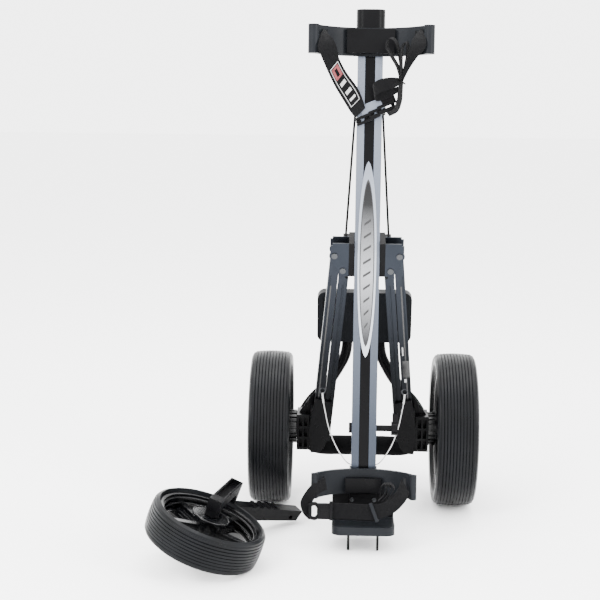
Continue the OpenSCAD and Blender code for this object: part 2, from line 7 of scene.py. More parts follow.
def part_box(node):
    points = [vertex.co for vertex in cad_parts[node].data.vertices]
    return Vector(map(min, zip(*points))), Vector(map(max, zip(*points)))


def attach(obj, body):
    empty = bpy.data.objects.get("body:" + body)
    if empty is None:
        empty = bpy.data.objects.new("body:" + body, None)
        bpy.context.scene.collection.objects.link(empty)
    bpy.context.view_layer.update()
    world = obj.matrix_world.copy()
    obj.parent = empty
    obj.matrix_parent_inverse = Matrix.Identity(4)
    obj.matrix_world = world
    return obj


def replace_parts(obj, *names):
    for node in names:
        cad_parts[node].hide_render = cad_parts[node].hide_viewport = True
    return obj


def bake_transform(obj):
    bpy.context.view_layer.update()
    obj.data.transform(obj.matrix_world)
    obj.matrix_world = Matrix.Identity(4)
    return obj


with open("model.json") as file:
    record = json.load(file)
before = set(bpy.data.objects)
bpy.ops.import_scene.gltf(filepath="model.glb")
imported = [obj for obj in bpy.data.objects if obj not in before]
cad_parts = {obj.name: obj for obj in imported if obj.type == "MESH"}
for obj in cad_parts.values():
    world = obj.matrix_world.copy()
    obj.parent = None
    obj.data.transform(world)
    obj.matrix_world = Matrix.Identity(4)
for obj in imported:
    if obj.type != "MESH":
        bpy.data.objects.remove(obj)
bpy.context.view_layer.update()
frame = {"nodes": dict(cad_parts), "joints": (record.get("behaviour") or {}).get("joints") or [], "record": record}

MM = 0.001
JOINTS = {j["name"]: j for j in frame["joints"]}

# ---- the spine's own frame: x across, n back from its front face, s up along it, all in millimetres ----
LEAN = math.radians(5.0)
KNUCKLE = Vector(JOINTS["handle_fold"]["pos_m"])      # the handle's hinge, at n 60 and s 885
KNUCKLE_N, KNUCKLE_S = 60.0, 885.0
ACROSS = Vector((1, 0, 0))
BACK = Vector((0, math.cos(LEAN), -math.sin(LEAN)))
ALONG = Vector((0, math.sin(LEAN), math.cos(LEAN)))


def at(x, n, s):
    """A point given in the spine's frame, in the row frame."""
    return KNUCKLE + MM * (x * ACROSS + (n - KNUCKLE_N) * BACK + (s - KNUCKLE_S) * ALONG)


# ---- camera: low telephoto view from the front, tilted down ----
CAMERA_FROM_CART = Vector((-0.0433, -2.260, 0.829))    # from the floor point midway between the stand pins
cart_lo, cart_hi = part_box("spine")
pins_lo, pins_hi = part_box("stand_pins")
CART = Vector(((cart_lo.x + cart_hi.x) / 2, (pins_lo.y + pins_hi.y) / 2 - 0.0065, 0))
camera_data = bpy.data.cameras.new("camera")
camera_data.sensor_width = 36.0
camera_data.lens = 84.0
camera = bpy.data.objects.new("camera", camera_data)
bpy.context.scene.collection.objects.link(camera)
YAW, PITCH, ROLL = math.radians(1.7), math.radians(80.0), math.radians(0.6)
camera.matrix_world = (Matrix.Translation(CART + CAMERA_FROM_CART) @ Matrix.Rotation(YAW, 4, "Z")
                       @ Matrix.Rotation(PITCH, 4, "X") @ Matrix.Rotation(ROLL, 4, "Z"))
bpy.context.scene.camera = camera


# ---- studio: strengths in watts for the lights, and the floor's half side in metres ----
WORLD_STRENGTH = 4.8
KEY_POWER, FILL_POWER, TOP_POWER = 120, 80, 90
FLOOR_HALF = 12.0

# ---- materials ----
class Shader:
    """A Principled material with a few procedural helpers."""

    def __init__(self, name, colour, roughness, metallic=0.0, coat=0.0, specular=0.5):
        self.mat = bpy.data.materials.new(name)
        self.mat.use_nodes = True
        self.tree = self.mat.node_tree
        self.bsdf = self.tree.nodes["Principled BSDF"]
        self.set("Base Color", (*colour, 1.0))
        self.set("Roughness", roughness)
        self.set("Metallic", metallic)
        self.set("Coat Weight", coat)
        self.set("Coat Roughness", 0.12)
        self.set("Specular IOR Level", specular)
        self.normal = None

    def set(self, socket, value):
        self.bsdf.inputs[socket].default_value = value

    def node(self, kind, **values):
        n = self.tree.nodes.new(kind)
        for key, value in values.items():
            if key in n.inputs:
                n.inputs[key].default_value = value
            else:
                setattr(n, key, value)
        return n

    def link(self, a, b):
        self.tree.links.new(a, b)

    def coords(self, scale=(1, 1, 1), source="Object", turn=(0, 0, 0)):
        where = self.node("ShaderNodeTexCoord")
        mapping = self.node("ShaderNodeMapping")
        mapping.inputs["Scale"].default_value = scale
        mapping.inputs["Rotation"].default_value = turn
        self.link(where.outputs[source], mapping.inputs["Vector"])
        return mapping.outputs["Vector"]

    def noise(self, size, detail=3.0, stretch=(1, 1, 1), turn=(0, 0, 0)):
        n = self.node("ShaderNodeTexNoise", Scale=1.0 / size, Detail=detail)
        self.link(self.coords(stretch, turn=turn), n.inputs["Vector"])
        return n.outputs["Fac"]

    def ramp(self, value, low, high, start=0.3, end=0.7):
        r = self.node("ShaderNodeValToRGB")
        a, b = r.color_ramp.elements
        a.position, b.position = start, end
        a.color = (*low, 1) if isinstance(low, tuple) else (low, low, low, 1)
        b.color = (*high, 1) if isinstance(high, tuple) else (high, high, high, 1)
        self.link(value, r.inputs["Fac"])
        return r.outputs["Color"]

    def vary(self, socket, value, low, high, start=0.3, end=0.7):
        self.link(self.ramp(value, low, high, start, end), self.bsdf.inputs[socket])
        return self

    def bump(self, height, distance, strength=1.0):
        b = self.node("ShaderNodeBump", Strength=strength, Distance=distance)
        self.link(height, b.inputs["Height"])
        if self.normal is not None:
            self.link(self.normal, b.inputs["Normal"])
        self.normal = b.outputs["Normal"]
        self.link(self.normal, self.bsdf.inputs["Normal"])
        return self

    def soften(self, radius):
        """Rounds the look of hard edges, as moulding and deburring do."""
        b = self.node("ShaderNodeBevel", Radius=radius)
        b.samples = 4
        self.normal = b.outputs["Normal"]
        self.link(self.normal, self.bsdf.inputs["Normal"])
        return self


def anodised(name, colour, dark, streak_turn=(0, 0, 0), roughness=0.34):
    """Satin anodised extrusion: fine die lines along its length, faint patches and rubbed corners."""
    m = Shader(name, colour, roughness, metallic=0.85)
    m.soften(0.0009)
    lines = m.noise(0.0007, 2.0, (1, 1, 0.012), streak_turn)
    m.vary("Base Color", m.noise(0.05, 4.0, (1, 1, 0.25)), dark, colour, 0.25, 0.75)
    m.vary("Roughness", lines, roughness - 0.05, roughness + 0.10)
    m.bump(lines, 0.00006, 0.5)
    return m


def moulded(name, colour, roughness, grain=0.0006, depth=0.00008, coat=0.0, specular=0.06):
    """Injection-moulded plastic with a fine grain, handling marks and softened edges."""
    m = Shader(name, colour, roughness, coat=coat, specular=specular)
    m.soften(0.0012)
    m.vary("Roughness", m.noise(0.03, 5.0), roughness - 0.07, roughness + 0.12)
    m.vary("Base Color", m.noise(0.06, 3.0), tuple(c * 0.8 for c in colour),
           tuple(c * 1.25 for c in colour))
    m.bump(m.noise(grain, 2.0), depth, 0.6)
    return m


def fade_by_height(m, low, high, z0, z1):
    """Colours a material from low at height z0 to high at z1 on the standing cart."""
    where = m.node("ShaderNodeTexCoord")
    parts = m.node("ShaderNodeSeparateXYZ")
    m.link(where.outputs["Object"], parts.inputs["Vector"])
    height = m.node("ShaderNodeMapRange")
    height.inputs["From Min"].default_value = z0
    height.inputs["From Max"].default_value = z1
    m.link(parts.outputs["Z"], height.inputs["Value"])
    m.link(m.ramp(height.outputs["Result"], low, high, 0.0, 1.0), m.bsdf.inputs["Base Color"])


def make_spine_alloy():
    """The extrusion darkens towards its foot: painted shade low down and painted light towards the top, over one
    even anodised finish.
    """
    lo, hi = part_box("spine")
    m = anodised("spine_alloy", (0.12, 0.13, 0.16), (0.10, 0.11, 0.14), roughness=0.30)
    # painted shade: colour ramps from dark at the foot to paler at the top, standing in for how the light falls
    fade_by_height(m, (0.030, 0.036, 0.048), (0.130, 0.146, 0.180), lo.z + 0.08, hi.z - 0.15)
    return m.mat


def make_leg_alloy():
    """The leg bars darken from grey to black towards the wheels: painted shade near the floor, over one even
    anodised finish.
    """
    lo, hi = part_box("outer_bar_left")
    m = anodised("leg_alloy", (0.02, 0.024, 0.03), (0.014, 0.017, 0.022), roughness=0.34)
    # painted shade: colour ramps from near black at the wheels to grey at the top of the bar
    fade_by_height(m, (0.0010, 0.0012, 0.0016), (0.0150, 0.0180, 0.0240), lo.z + 0.03, hi.z)
    return m.mat


def make_plate_alloy():
    return anodised("plate_alloy", (0.014, 0.017, 0.023), (0.009, 0.011, 0.015), roughness=0.36).mat


def make_pin_steel():
    m = Shader("pin_steel", (0.045, 0.047, 0.05), 0.28, metallic=1.0)
    m.soften(0.0006)
    m.vary("Roughness", m.noise(0.004, 4.0), 0.2, 0.42)
    m.bump(m.noise(0.0008, 2.0), 0.00004, 0.5)
    return m.mat


def make_bright_steel():
    """Zinc-plated screws and axle ends."""
    m = Shader("bright_steel", (0.40, 0.41, 0.43), 0.3, metallic=1.0)
    m.vary("Roughness", m.noise(0.003, 4.0), 0.22, 0.4)
    m.bump(m.noise(0.0008, 2.0), 0.00004, 0.5)
    return m.mat


def make_tread():
    """Smooth moulded tyre: semi-gloss, slightly blue, with a dusty bloom in patches."""
    m = Shader("tread", (0.0012, 0.0014, 0.0018), 0.34, specular=0.09)
    m.soften(0.0014)
    m.vary("Base Color", m.noise(0.05, 5.0), (0.0008, 0.0010, 0.0013), (0.0018, 0.0022, 0.0030))
    m.vary("Roughness", m.noise(0.018, 4.0), 0.27, 0.46)
    m.bump(m.noise(0.0012, 3.0), 0.0001, 0.5)
    return m.mat


def make_rim_plastic():
    return moulded("rim_plastic", (0.0012, 0.0013, 0.0016), 0.16, coat=0.1, specular=0.25).mat


def make_webbing():
    """Polyester webbing: fine diagonal weave across the band, ribs along it, slightly fuzzy sheen."""
    m = Shader("webbing", (0.002, 0.002, 0.0025), 0.82, specular=0.04)
    m.set("Sheen Weight", 0.03)
    m.set("Sheen Roughness", 0.5)
    weave = m.node("ShaderNodeTexWave", Scale=1.0)
    weave.bands_direction = "DIAGONAL"
    m.link(m.coords((900, 450, 1), "UV"), weave.inputs["Vector"])
    ribs = m.node("ShaderNodeTexWave", Scale=1.0)
    ribs.bands_direction = "Y"
    m.link(m.coords((1, 300, 1), "UV"), ribs.inputs["Vector"])
    m.vary("Base Color", weave.outputs["Fac"], (0.0004, 0.0004, 0.0005), (0.0032, 0.0032, 0.0038), 0.1, 0.9)
    m.vary("Roughness", m.noise(0.006, 4.0), 0.65, 0.9)
    m.bump(ribs.outputs["Fac"], 0.00016, 0.6)
    m.bump(weave.outputs["Fac"], 0.00022, 0.8)
    return m.mat


def make_foam():
    """Cellular foam grip: matt with small open cells."""
    m = Shader("foam", (0.0015, 0.0015, 0.0018), 0.9, specular=0.04)
    cells = m.node("ShaderNodeTexVoronoi", Scale=700.0)
    m.link(m.coords(), cells.inputs["Vector"])
    m.vary("Base Color", m.noise(0.02, 4.0), (0.0008, 0.0008, 0.0010), (0.0030, 0.0030, 0.0033))
    m.vary("Roughness", m.noise(0.01, 3.0), 0.78, 0.95)
    m.bump(cells.outputs["Distance"], 0.0003, 0.7)
    return m.mat


def make_badge_border():
    """Printed border: silver at the top of the badge, nearly white at its foot."""
    lo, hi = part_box("badge")
    m = Shader("badge_border", (0.3, 0.31, 0.33), 0.3, coat=0.1, specular=0.1)
    fade_by_height(m, (0.36, 0.38, 0.41), (0.13, 0.145, 0.175), lo.z, hi.z)
    m.vary("Roughness", m.noise(0.005, 3.0), 0.24, 0.36)
    return m.mat


def make_badge_face():
    """Printed fade along the badge: black at the top, silver in its lower half, under a clear lacquer."""
    m = Shader("badge_face", (0.1, 0.1, 0.1), 0.28, metallic=0.3, coat=0.1, specular=0.2)
    lo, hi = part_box("badge")
    where = m.node("ShaderNodeTexCoord")
    parts = m.node("ShaderNodeSeparateXYZ")
    m.link(where.outputs["Object"], parts.inputs["Vector"])
    height = m.node("ShaderNodeMapRange")
    height.inputs["From Min"].default_value = lo.z
    height.inputs["From Max"].default_value = hi.z
    m.link(parts.outputs["Z"], height.inputs["Value"])
    r = m.node("ShaderNodeValToRGB")
    stops = r.color_ramp.elements
    stops[0].position, stops[0].color = 0.06, (0.006, 0.006, 0.007, 1)
    stops[1].position, stops[1].color = 0.95, (0.002, 0.002, 0.0025, 1)
    for place, grey in ((0.20, 0.10), (0.42, 0.24), (0.60, 0.13), (0.78, 0.008)):
        stop = stops.new(place)
        stop.color = (grey, grey * 1.02, grey * 1.07, 1)
    m.link(height.outputs["Result"], r.inputs["Fac"])
    m.link(r.outputs["Color"], m.bsdf.inputs["Base Color"])
    m.vary("Roughness", m.noise(0.004, 3.0), 0.22, 0.36)
    return m.mat


def make_paint(name, colour, roughness=0.5):
    m = Shader(name, colour, roughness)
    m.vary("Roughness", m.noise(0.003, 3.0), roughness - 0.08, roughness + 0.1)
    m.vary("Base Color", m.noise(0.008, 3.0), tuple(c * 0.88 for c in colour), colour)
    m.bump(m.noise(0.0008, 2.0), 0.00006, 0.5)
    return m.mat


MAT = {
    "spine_alloy": make_spine_alloy(),
    "channel_black": moulded("channel_black", (0.001, 0.001, 0.0013), 0.22).mat,
    "badge": make_badge_border(),
    "leg_alloy": make_leg_alloy(),
    "plate_alloy": make_plate_alloy(),
    "pin_steel": make_pin_steel(),
    "tread": make_tread(),
    "rim_plastic": make_rim_plastic(),
    "webbing": make_webbing(),
    "buckle_plastic": moulded("buckle_plastic", (0.0013, 0.0013, 0.0016), 0.26).mat,
    "foam": make_foam(),
    "black_tube": moulded("black_tube", (0.0014, 0.0014, 0.0017), 0.2).mat,
    "wire": moulded("wire", (0.34, 0.34, 0.34), 0.35, grain=0.0009).mat,
    "grey_plastic": moulded("grey_plastic", (0.0060, 0.0067, 0.0080), 0.36).mat,
    "console_plastic": moulded("console_plastic", (0.0022, 0.0026, 0.0034), 0.42).mat,
    "black_plastic": moulded("black_plastic", (0.0012, 0.0012, 0.0015), 0.32).mat,
    "badge_face": make_badge_face(),
    "bright_steel": make_bright_steel(),
    "print_black": make_paint("print_black", (0.002, 0.002, 0.0024), 0.3),
    "print_white": make_paint("print_white", (0.30, 0.30, 0.30)),
    "print_red": make_paint("print_red", (0.11, 0.003, 0.006)),
}

for part in frame["record"]["subparts"]:
    node = frame["nodes"][part["node"]]
    node.data.materials.clear()
    node.data.materials.append(MAT[part["material_slot"]])


# ---- mesh helpers ----
def add_mesh(name, verts, faces, material, body=None, smooth=True, uvs=None):
    mesh = bpy.data.meshes.new(name)
    mesh.from_pydata([tuple(v) for v in verts], [], faces)
    mesh.validate()
    mesh.materials.append(MAT[material])
    if uvs is not None:
        layer = mesh.uv_layers.new(name="UVMap")
        for loop in mesh.loops:
            layer.data[loop.index].uv = uvs[loop.vertex_index]
    for polygon in mesh.polygons:
        polygon.use_smooth = smooth
    obj = bpy.data.objects.new(name, mesh)
    bpy.context.scene.collection.objects.link(obj)
    if body is not None:
        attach(obj, body)
    return obj


def spline(points, t):
    """A point of the smooth curve through points; t goes from 0 to 1."""
    last = len(points) - 1
    i = min(int(t * last), last - 1)
    u = t * last - i
    a, b, c, d = (points[max(i - 1, 0)], points[i], points[i + 1], points[min(i + 2, last)])
    return 0.5 * (2 * b + (c - a) * u + (2 * a - 5 * b + 4 * c - d) * u * u
                  + (3 * b - a - 3 * c + d) * u ** 3)


def tube(name, points, radius, material, body=None, steps=60, sides=24, taper=None):
    """A round tube along points; taper(t) scales its radius."""
    line = [spline(points, i / steps) for i in range(steps + 1)]
    verts, faces = [], []
    side = (line[1] - line[0]).orthogonal().normalized()
    for i, p in enumerate(line):
        ahead = (line[min(i + 1, steps)] - line[max(i - 1, 0)]).normalized()
        side = (side - ahead * side.dot(ahead)).normalized()
        other = ahead.cross(side)
        r = radius * (taper(i / steps) if taper else 1.0)
        for k in range(sides):
            angle = 2 * math.pi * k / sides
            verts.append(p + r * (math.cos(angle) * side + math.sin(angle) * other))
    for i in range(steps):
        for k in range(sides):
            a, b = i * sides + k, i * sides + (k + 1) % sides
            faces.append((a, b, b + sides, a + sides))
    faces.append(tuple(reversed(range(sides))))
    faces.append(tuple(range(steps * sides, (steps + 1) * sides)))
    return add_mesh(name, verts, faces, material, body)


class Ribbon:
    """A band of webbing between two edges, each a list of (x, n, s) points in the spine's frame."""

    def __init__(self, left, right):
        self.left = [at(*p) for p in left]
        self.right = [at(*p) for p in right]

    def point(self, u, v, lift=0.0):
        a, b = spline(self.left, v), spline(self.right, v)
        step = 0.004
        v0, v1 = max(v - step, 0.0), min(v + step, 1.0)
        along = ((spline(self.left, v1) + spline(self.right, v1))
                 - (spline(self.left, v0) + spline(self.right, v0)))
        normal = (b - a).cross(along)
        normal.normalize()
        return a.lerp(b, u) + normal * lift

    def mesh(self, name, material, body, u=(0, 1), v=(0, 1), lift=(-0.0007, 0.0007), steps=48, cells=6):
        """A closed slab of the band over that range, from lift[0] to lift[1] off its middle surface."""
        verts, faces, uvs = [], [], []
        for side in (0, 1):
            for i in range(steps + 1):
                for k in range(cells + 1):
                    uu = u[0] + (u[1] - u[0]) * k / cells
                    vv = v[0] + (v[1] - v[0]) * i / steps
                    verts.append(self.point(uu, vv, lift[side]))
                    uvs.append((uu * 0.029, vv * 0.25))
        row = cells + 1
        block = (steps + 1) * row
        for i in range(steps):
            for k in range(cells):
                a = i * row + k
                faces.append((a, a + row, a + row + 1, a + 1))
                faces.append((block + a, block + a + 1, block + a + row + 1, block + a + row))
        rim = [k for k in range(cells)] + [i * row + cells for i in range(steps)]
        rim += [steps * row + k for k in range(cells, 0, -1)] + [i * row for i in range(steps, 0, -1)]
        for a, b in zip(rim, rim[1:] + rim[:1]):
            faces.append((a, b, block + b, block + a))
        obj = add_mesh(name, verts, faces, material, body, uvs=uvs)
        crease = obj.modifiers.new("edge", "EDGE_SPLIT")
        crease.split_angle = math.radians(50)
        return obj


def slab(name, centre, right, up, size, material, body, bevel=0.0012, holes=()):
    """A bevelled block: size is (width, height, depth) along right, up and their normal. holes are
    (x, y, width, height) windows, left open by building the block from bars round them."""
    right, up = right.normalized(), up.normalized()
    out = right.cross(up)
    verts, faces = [], []

    def bar(x0, x1, y0, y1):
        base = len(verts)
        for z in (-size[2] / 2, size[2] / 2):
            for x, y in ((x0, y0), (x1, y0), (x1, y1), (x0, y1)):
                verts.append(centre + right * x + up * y + out * z)
        for f in ((0, 3, 2, 1), (4, 5, 6, 7), (0, 1, 5, 4), (1, 2, 6, 5), (2, 3, 7, 6), (3, 0, 4, 7)):
            faces.append(tuple(base + i for i in f))

    half_w, half_h = size[0] / 2, size[1] / 2
    if not holes:
        bar(-half_w, half_w, -half_h, half_h)
    else:
        x = -half_w
        top = max(y + h / 2 for _, y, _, h in holes)
        low = min(y - h / 2 for _, y, _, h in holes)
        bar(-half_w, half_w, top, half_h)
        bar(-half_w, half_w, -half_h, low)
        for hx, _, hw, _ in sorted(holes):
            bar(x, hx - hw / 2, low, top)
            x = hx + hw / 2
        bar(x, half_w, low, top)
    obj = add_mesh(name, verts, faces, material, body, smooth=True)
    rounding = obj.modifiers.new("rounding", "BEVEL")
    rounding.width = bevel
    rounding.segments = 3
    rounding.limit_method = "ANGLE"
    return obj


def direction(x, n, s):
    return (x * ACROSS + n * BACK + s * ALONG).normalized()


# ---- badge: printed oval with plain slanted bars ----
def badge_outline(half_l, half_w, steps=64):
    """Outline points (x, s) of the badge's long pointed oval about its middle."""
    side = []
    for i in range(steps + 1):
        t = 2 * i / steps - 1
        side.append((half_w * (1 - abs(t) ** 2.3) ** 0.6, half_l * t))
    return side + [(-x, s) for x, s in reversed(side[1:-1])]


def plate(name, outline, n0, n1, material, body):
    count = len(outline)
    verts = [at(x, n0, s) for x, s in outline] + [at(x, n1, s) for x, s in outline]
    faces = [tuple(range(count)), tuple(reversed(range(count, 2 * count)))]
    faces += [(i, i + count, (i + 1) % count + count, (i + 1) % count) for i in range(count)]
    return add_mesh(name, verts, faces, material, body, smooth=False)


def make_badge():
    lo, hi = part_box("badge")
    middle_s = 485.0
    half_l, half_w = (hi - lo).length / MM / 2, (hi.x - lo.x) / MM / 2
    face = [(x, middle_s + s - 6) for x, s in badge_outline(half_l * 0.82, half_w * 0.68)]
    plate("badge_face", face, -1.9, -1.4, "badge_face", "frame")
    rim = [(x, middle_s + s - 6) for x, s in badge_outline(half_l * 0.85, half_w * 0.78)]
    plate("badge_rim", rim, -1.65, -1.4, "print_black", "frame")
    for i in range(9):
        s = middle_s + 62 - i * 22
        w = 13.0 * (1 - ((s - middle_s) / (half_l * 0.9)) ** 2)
        bar = [(-w * 0.5, s - 4), (w * 0.5, s + 4), (w * 0.5, s + 8), (-w * 0.5, s)]
        plate("badge_bar_%d" % i, bar, -2.2, -1.8, "print_black", "frame")


# ---- upper strap ----
def make_upper_strap():
    left = Ribbon(
        [(-79, -50, 868), (-84, -66, 854), (-87, -78, 836), (-82, -76, 822), (-70, -64, 796),
         (-58, -52, 773), (-43, -38, 750), (-33, -30, 735), (-24, -20, 724)],
        [(-76, -47, 866), (-70, -58, 858), (-62, -64, 848), (-56, -66, 834), (-52, -64, 818),
         (-40, -54, 797), (-22, -38, 774), (-13, -25, 756), (-8, -16, 741)])
    band = left.mesh("upper_webbing_left", "webbing", "frame", steps=72)
    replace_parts(band, "upper_strap_left")
    front = 1.0 if left.point(0.5, 0.5, 1.0).y < left.point(0.5, 0.5, 0.0).y else -1.0

    def printed(name, u, v, material, low=0.0008, high=0.0011, steps=16, cells=4):
        lift = (front * low, front * high) if front > 0 else (front * high, front * low)
        left.mesh(name, material, "frame", u, v, lift, steps, cells)

    u0, u1, v0, v1 = 0.16, 0.84, 0.50, 0.85
    line = 0.03
    printed("patch_edge_left", (u0, u0 + line), (v0, v1), "print_white")
    printed("patch_edge_right", (u1 - line, u1), (v0, v1), "print_white")
    printed("patch_edge_top", (u0, u1), (v0, v0 + 0.006), "print_white")
    printed("patch_edge_bottom", (u0, u1), (v1 - 0.006, v1), "print_white")
    printed("patch_red_top", (0.24, 0.76), (0.515, 0.533), "print_red")
    printed("patch_red_low", (0.24, 0.76), (0.592, 0.606), "print_red")
    printed("patch_red_left", (0.24, 0.40), (0.520, 0.600), "print_red")
    printed("patch_red_right", (0.60, 0.76), (0.520, 0.600), "print_red")
    for i in range(3):
        start = 0.640 + i * 0.066
        printed("patch_bar_%d" % i, (0.30, 0.70), (start, start + 0.024), "print_white")

    right = Ribbon(
        [(80, -50, 868), (68, -60, 852), (63, -66, 836), (60, -62, 822), (55, -54, 805), (49, -42, 786)],
        [(83, -54, 868), (88, -72, 852), (87, -76, 836), (74, -66, 820), (62, -54, 801), (54, -42, 784)])
    band = right.mesh("upper_webbing_right", "webbing", "frame")
    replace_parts(band, "upper_strap_right")
    drop = Ribbon(
        [(49, -42, 786), (46, -36, 772), (45, -30, 756), (40, -24, 741), (28, -19, 734)],
        [(54, -40, 785), (54, -28, 770), (53, -20, 752), (47, -14, 736), (33, -12, 728)])
    drop.mesh("upper_webbing_drop", "webbing", "frame")
    fold = Ribbon(
        [(52, -44, 789), (34, -50, 790), (16, -48, 787), (5, -42, 780), (8, -34, 772), (26, -32, 770),
         (46, -36, 776)],
        [(50, -42, 779), (34, -48, 771), (18, -46, 766), (8, -38, 758), (12, -28, 752), (30, -26, 757),
         (48, -32, 768)])
    fold.mesh("upper_webbing_fold", "webbing", "frame", steps=60)
    loops = (
        ([(50, -44, 786), (44, -52, 806), (33, -56, 824), (25, -56, 838), (29, -52, 852), (38, -50, 850),
          (44, -48, 836), (49, -46, 812), (51, -42, 788)], 12),
        ([(51, -44, 788), (49, -54, 812), (50, -58, 836), (56, -58, 846), (60, -54, 836), (57, -50, 812),
          (52, -42, 788)], 9),
    )
    for i, (line, width) in enumerate(loops):
        near = [(x - 2, n - width / 2, s - 1) for x, n, s in line]
        far = [(x + 3, n + width / 2, s + 2) for x, n, s in line]
        loop = Ribbon(near, far).mesh("upper_webbing_loop_%d" % i, "webbing", "frame", steps=64)
    keeper = tube("gather_tie", [at(47, -46, 786), at(52, -50, 783), at(57, -42, 780), at(53, -36, 783),
                                 at(47, -40, 786)],
                  1.3 * MM, "buckle_plastic", "frame", 24, 10)


def make_upper_buckle():
    slip = Ribbon([(-16, -9, 744), (2, -10, 752), (22, -10, 760)],
                  [(-12, -9, 727), (6, -10, 734), (26, -10, 742)])
    slip.mesh("strap_slip", "spine_alloy", "frame")
    slope = direction(1, 0, 0.42)
    rise = direction(-0.42, 0, 1)
    first = slab("ladder_buckle_low", at(-10, -14, 722), slope, rise, (0.028, 0.014, 0.007),
                 "buckle_plastic", "frame", bevel=0.002, holes=((0.002, 0, 0.012, 0.004),))
    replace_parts(first, "upper_buckle")
    for i, (x, s, w) in enumerate(((8, 731, 0.018), (28, 742, 0.030))):
        piece = slab("ladder_buckle_%d" % i, at(x, -13 - i, s), slope, rise, (w, 0.015, 0.009),
                     "buckle_plastic", "frame", bevel=0.002, holes=((0, 0.001, w * 0.55, 0.003),))
    tongue = slab("ladder_buckle_body", at(30, -11, 757), slope, rise, (0.024, 0.022, 0.005),
                  "buckle_plastic", "frame", bevel=0.002)


# ---- lower strap ----
def make_lower_strap():
    wrap = Ribbon(
        [(-66, -48, 117), (-84, -60, 111), (-97, -69, 98), (-106, -73, 80), (-101, -76, 62),
         (-93, -77, 54)],
        [(-62, -50, 98), (-76, -62, 92), (-84, -68, 84), (-87, -71, 75), (-88, -74, 66), (-87, -76, 60)])
    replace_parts(wrap.mesh("lower_webbing_left", "webbing", "frame"), "lower_strap")
    run = Ribbon(
        [(-54, -78, 81), (-26, -79, 81), (6, -79, 80), (30, -78, 82), (46, -73, 92), (58, -66, 106),
         (63, -60, 120)],
        [(-54, -78, 55), (-26, -79, 55), (6, -79, 54), (30, -78, 56), (54, -74, 68), (70, -68, 84),
         (77, -62, 98)])
    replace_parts(run.mesh("lower_webbing_run", "webbing", "frame", steps=72), "lower_strap_tail")
    under = Ribbon(
        [(-54, -76, 79), (-20, -76, 79), (16, -76, 78), (26, -76, 66)],
        [(-54, -76, 53), (-20, -76, 52), (10, -76, 51), (20, -76, 50)])
    under.mesh("lower_webbing_under", "webbing", "frame")
    for i in range(3):
        shift = i * 6
        line = [(24 + shift, -70, 84), (33 + shift, -70, 94), (38 + shift, -68, 106),
                (34 + shift * 0.7, -64, 112), (28 + shift * 0.8, -62, 104), (27 + shift, -62, 90)]
        near = [(x, n - 5, s) for x, n, s in line]
        far = [(x + 1.5, n + 6, s + 1) for x, n, s in line]
        Ribbon(near, far).mesh("lower_webbing_loop_%d" % i, "webbing", "frame")
    keeper = slab("lower_keeper", at(17, -81, 67), direction(0.38, 0, -1), direction(1, 0, 0.38),
                  (0.034, 0.006, 0.004), "grey_plastic", "frame")
    body = slab("side_buckle_body", at(-66, -78, 67), ACROSS, ALONG, (0.024, 0.027, 0.009),
                "buckle_plastic", "frame", bevel=0.0025)
    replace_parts(body, "lower_buckle")
    tail = slab("side_buckle_bar", at(-54.5, -78, 68), ACROSS, ALONG, (0.006, 0.031, 0.011),
                "buckle_plastic", "frame")
    for i, side in enumerate((-1, 1)):
        prong = [at(-76, -78, 67 + side * 8), at(-81, -78, 67 + side * 12.5), at(-88, -78, 67 + side * 11),
                 at(-92, -78, 67 + side * 8)]
        tube("side_buckle_prong_%d" % i, prong, 3.2 * MM, "buckle_plastic", "frame", 20, 14)
    root = slab("side_buckle_root", at(-90, -78, 67), ACROSS, ALONG, (0.007, 0.028, 0.008),
                "buckle_plastic", "frame", bevel=0.002)


# ---- the handle's loop and grip ----
SLOPE = math.radians(10.0)
HANDLE_L = 798.0
LOOP_R = 10.0


def in_handle(x, s):
    """A point of the handle's plane: x across, s along it from the grip's middle, in millimetres."""
    down = (HANDLE_L - s) * MM
    return KNUCKLE + Vector((x * MM, down * math.sin(SLOPE), -down * math.cos(SLOPE)))


HALF_LOOP = [(0, 0), (42, 0), (80, 0), (104, 8), (115, 30), (113, 62), (97, 92), (77, 115), (59, 138),
             (46, 160), (34, 186), (30, 215), (30, 262)]


def make_handle():
    whole = [(-x, s) for x, s in reversed(HALF_LOOP[1:])] + HALF_LOOP
    line = [in_handle(x, s) for x, s in whole]
    loop = tube("handle_bow", line, LOOP_R * MM, "black_tube", "handle", 160, 28)
    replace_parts(loop, "handle_loop")
    reach = [(-x, s) for x, s in reversed(HALF_LOOP[1:4])] + HALF_LOOP[:4]

    def swell(t):
        return 1.0 - 0.30 * abs(2 * t - 1) ** 5

    grip = tube("foam_grip", [in_handle(x, s) for x, s in reach], 18.5 * MM, "foam", "handle", 60, 32,
                swell)
    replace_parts(grip, "handle_grip")
    for i, side in enumerate((-1, 1)):
        collar = tube("handle_collar_%d" % i, [in_handle(side * 30, s) for s in (224, 230, 240, 247)],
                      13.5 * MM, "black_plastic", "handle", 12, 28)


# ---- stay wires, their sleeves and eyes ----
WIRE_POINTS = [(74, 14, 236), (72, 18, 222), (68, 22, 205), (63, 24, 186), (55, 25, 166), (46, 26, 150),
               (37, 28, 138), (30, 31, 130), (24, 35, 125), (14, 39, 122)]
WIRE_BACK = 104.0
WIRE_RADIUS = 0.9


def wire_at(side, point):
    x, n, s = point
    return at(side * x, n + WIRE_BACK * max(0, s - 130) / 106, s)


